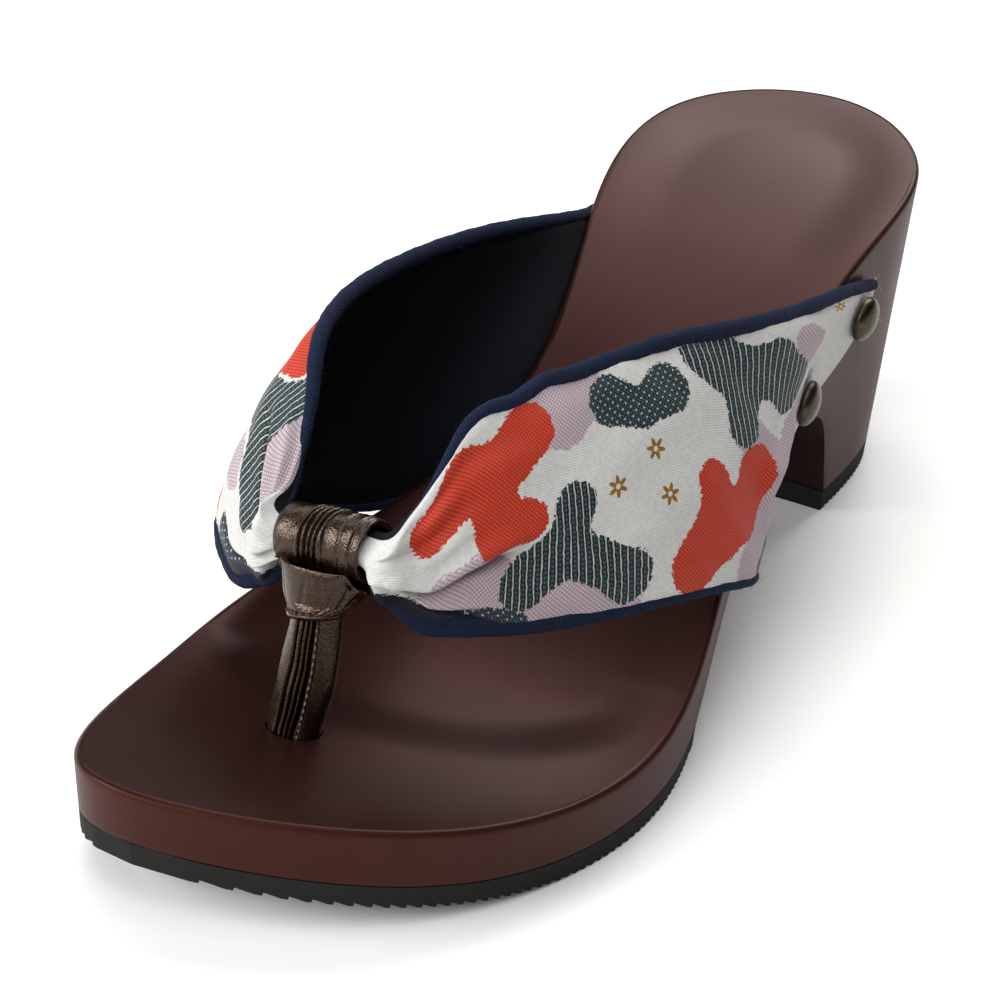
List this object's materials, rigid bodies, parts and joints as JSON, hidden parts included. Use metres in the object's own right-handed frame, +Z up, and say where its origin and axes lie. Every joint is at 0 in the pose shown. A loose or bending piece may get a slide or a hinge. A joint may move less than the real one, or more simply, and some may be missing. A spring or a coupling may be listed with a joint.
{
  "type": "geta sandal",
  "caption": "Wooden thong sandal with a block heel, arched sole, rubber treads, padded cloth strap and leather toe post.",
  "frame": {"origin": "on the floor, under the middle of the sandal's box", "axes": "+Y from toe to heel along the length, +X to the wearer's left, the outer side, +Z up"},
  "size_m": [0.0988, 0.2449, 0.0798],
  "materials": {
    "lacquered_wood": "satin lacquer",
    "black_rubber": "matt moulded",
    "jacquard_cloth": "woven",
    "bronze_leather": "metallic grained",
    "antique_brass": "antiqued"
  },
  "bodies": {
    "root": {"wooden_base": "lacquered_wood", "front_outsole": "black_rubber", "heel_outsole": "black_rubber", "strap_upper": "jacquard_cloth", "toe_band": "bronze_leather", "toe_collar": "bronze_leather", "toe_post": "bronze_leather", "stud_lateral_1": "antique_brass", "stud_lateral_2": "antique_brass", "stud_medial_1": "antique_brass", "stud_medial_2": "antique_brass"}
  },
  "joints": []
}
